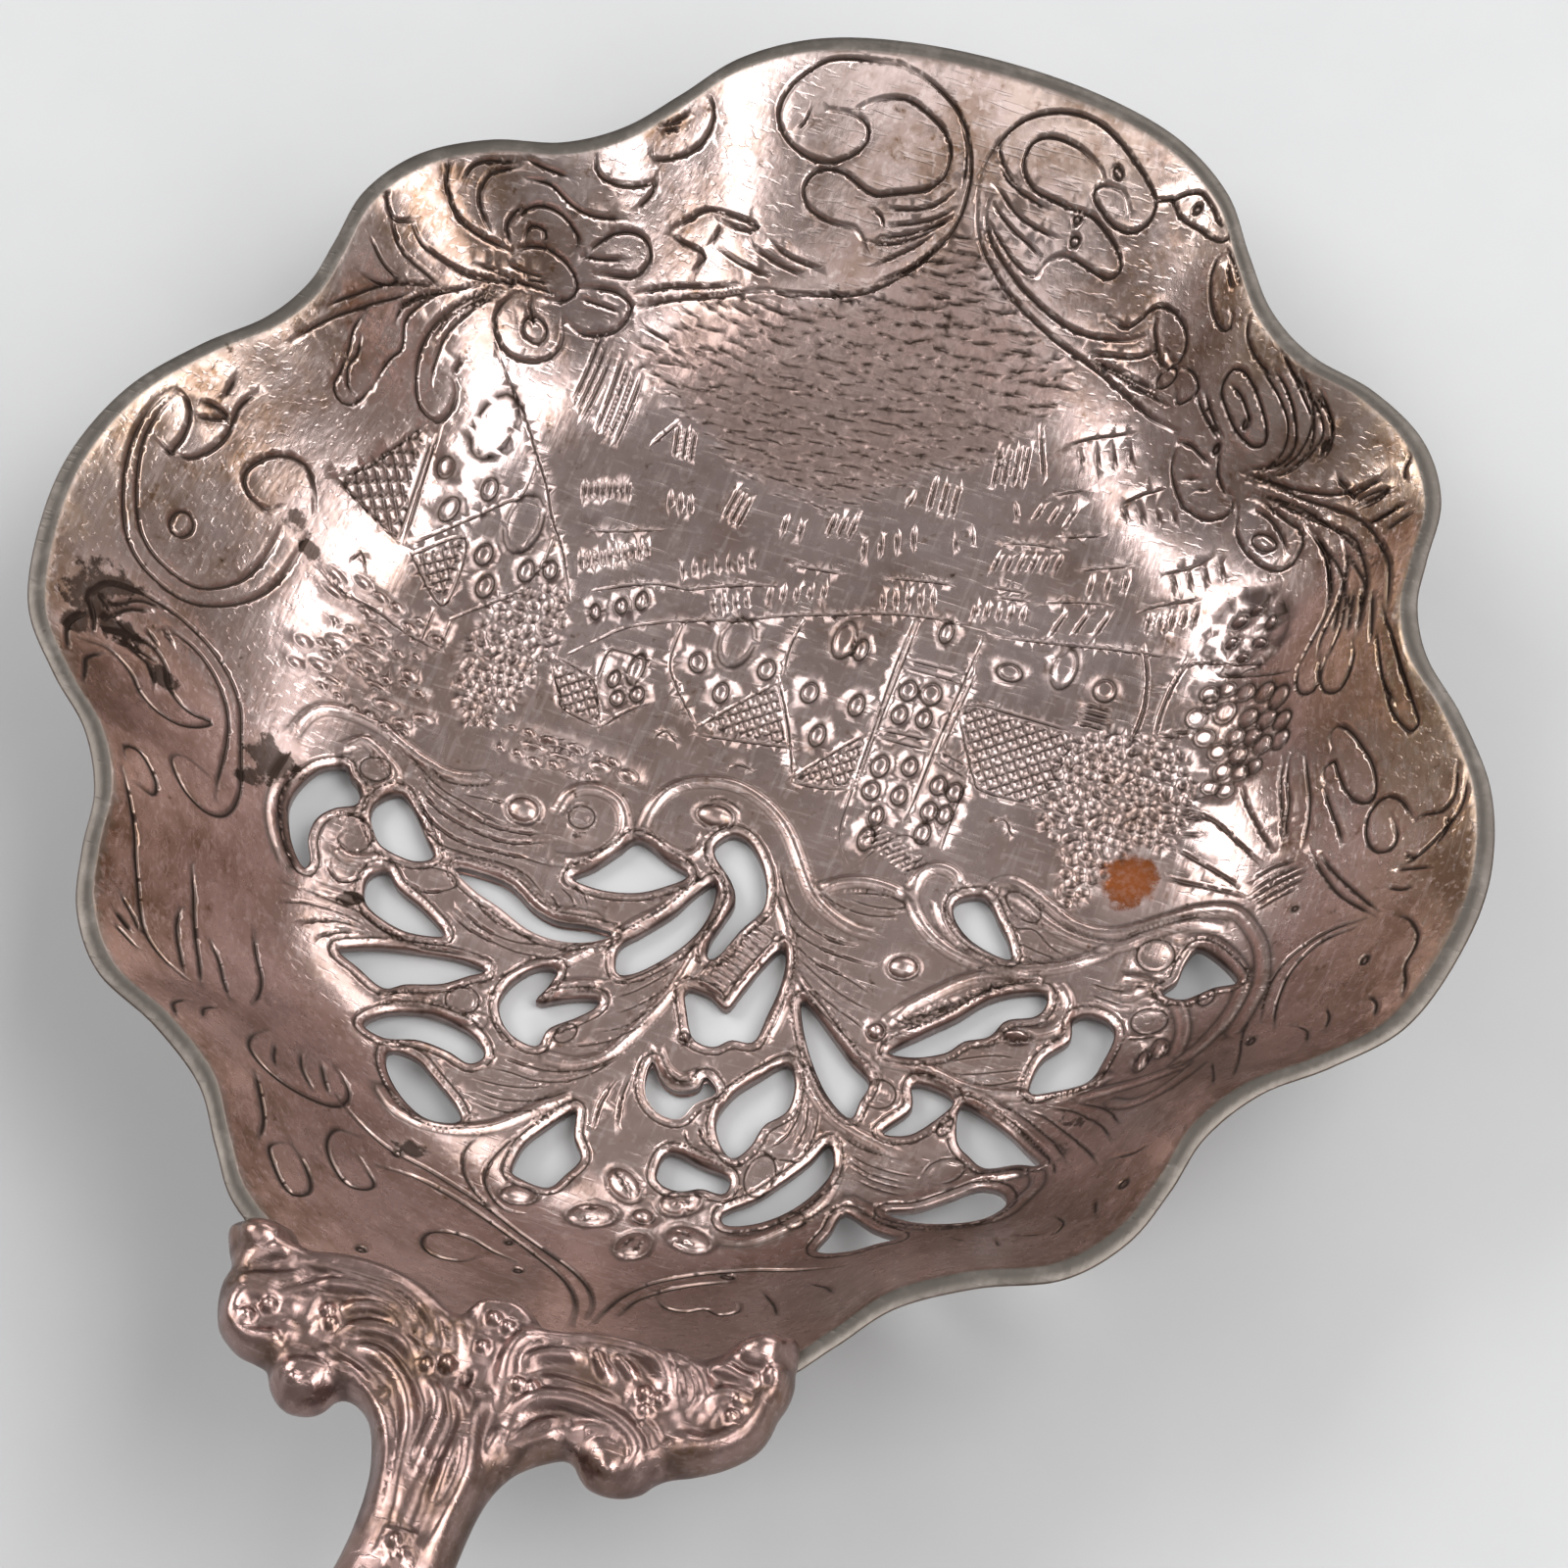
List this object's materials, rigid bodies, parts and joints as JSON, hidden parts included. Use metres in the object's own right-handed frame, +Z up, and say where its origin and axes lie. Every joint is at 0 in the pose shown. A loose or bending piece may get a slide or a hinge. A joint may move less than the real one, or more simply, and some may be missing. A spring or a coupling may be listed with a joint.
{
  "type": "serving scoop",
  "caption": "Serving scoop with a raised, scalloped bowl whose floor is pierced and chased, and a cast scroll bracket and stem on its near rim.",
  "frame": {"origin": "middle of the length, on the table the scoop rests on", "axes": "+Y toward the tip of the bowl, -Y toward the end of the handle, +Z up out of the open bowl"},
  "size_m": [0.0816, 0.1888, 0.0256],
  "materials": {
    "bowl": "tarnished silver, chased, worn",
    "handle": "tarnished cast silver"
  },
  "bodies": {
    "root": {"bowl": "bowl", "handle": "handle"}
  },
  "joints": []
}
